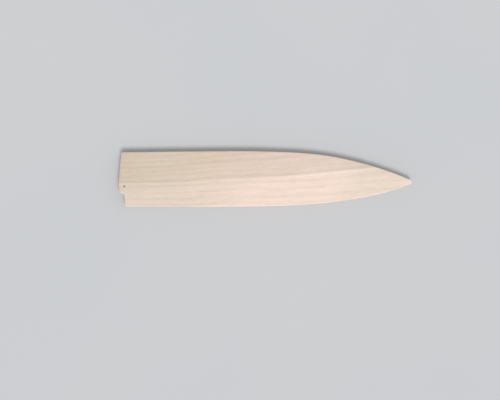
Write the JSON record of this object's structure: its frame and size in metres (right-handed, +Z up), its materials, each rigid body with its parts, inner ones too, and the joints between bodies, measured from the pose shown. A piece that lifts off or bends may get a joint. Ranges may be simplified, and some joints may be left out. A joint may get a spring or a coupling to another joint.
{
  "type": "knife blade guard",
  "caption": "Flat wooden sheath that slides over a long kitchen knife blade, held on by a tapered cross peg behind the heel.",
  "frame": {"origin": "middle of the underside, on the surface that the guard lies on", "axes": "+X from the mouth to the nose, +Y towards the spine of the blade, +Z up out of the front cheek"},
  "size_m": [0.294, 0.056, 0.0129],
  "materials": {
    "cheek_wood": "sanded, unfinished",
    "strip_wood": "sanded, unfinished",
    "peg_wood": "smooth, unfinished"
  },
  "bodies": {
    "sheath": {"front_cheek": "cheek_wood", "back_cheek": "cheek_wood", "spine_strip": "strip_wood", "edge_strip": "strip_wood"},
    "peg": {"retaining_peg": "peg_wood"}
  },
  "joints": [
    {"name": "peg_pull", "type": "slide", "parent": "sheath", "child": "peg", "axis": [0, 0, 1], "range_m": [0, 0.014]}
  ]
}
